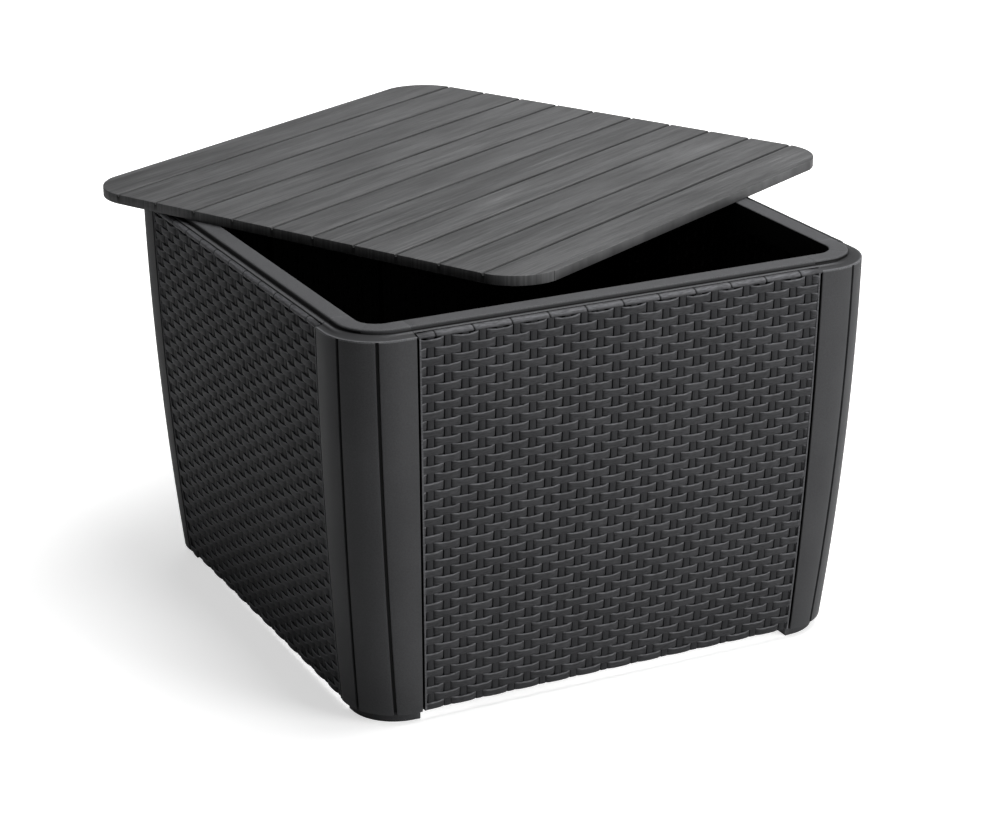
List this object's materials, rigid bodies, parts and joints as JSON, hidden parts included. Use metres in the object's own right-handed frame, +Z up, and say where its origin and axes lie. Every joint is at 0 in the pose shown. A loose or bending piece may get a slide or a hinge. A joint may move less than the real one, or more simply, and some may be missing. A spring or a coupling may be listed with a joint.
{
  "type": "propane tank cover table",
  "caption": "Square resin box table with woven side panels, grooved bowed corner posts and a lift-off slatted lid lying askew on its rim, open below to stand over a gas cylinder.",
  "frame": {"origin": "on the ground, under the middle of the box", "axes": "+Z up, -Y toward the front panel that the picture shows most of, -X toward the left panel that it also shows, +X right, +Y back"},
  "size_m": [0.8558, 0.937, 0.4823],
  "materials": {
    "graphite_resin": "fine moulded grain, satin",
    "woven_resin": "moulded flat-strand weave, satin with bright worn edges",
    "slat_resin": "fine brushed wood grain along the slats, matte"
  },
  "bodies": {
    "box": {"post_front_left": "graphite_resin", "post_front_right": "graphite_resin", "post_back_left": "graphite_resin", "post_back_right": "graphite_resin", "corner_cap_front_left": "graphite_resin", "corner_cap_front_right": "graphite_resin", "corner_cap_back_left": "graphite_resin", "corner_cap_back_right": "graphite_resin", "foot_front_left": "graphite_resin", "foot_front_right": "graphite_resin", "foot_back_left": "graphite_resin", "foot_back_right": "graphite_resin", "wicker_panel_front": "woven_resin", "wicker_panel_right": "woven_resin", "wicker_panel_left": "woven_resin", "wicker_panel_back": "woven_resin", "rim_rail_front": "graphite_resin", "rim_rail_right": "graphite_resin", "rim_rail_left": "graphite_resin", "rim_rail_back": "graphite_resin"},
    "lid": {"lid": "slat_resin"}
  },
  "joints": [
    {"name": "lid_lift", "type": "slide", "parent": "box", "child": "lid", "axis": [0, 0, 1], "range_m": [0, 0.5]}
  ]
}
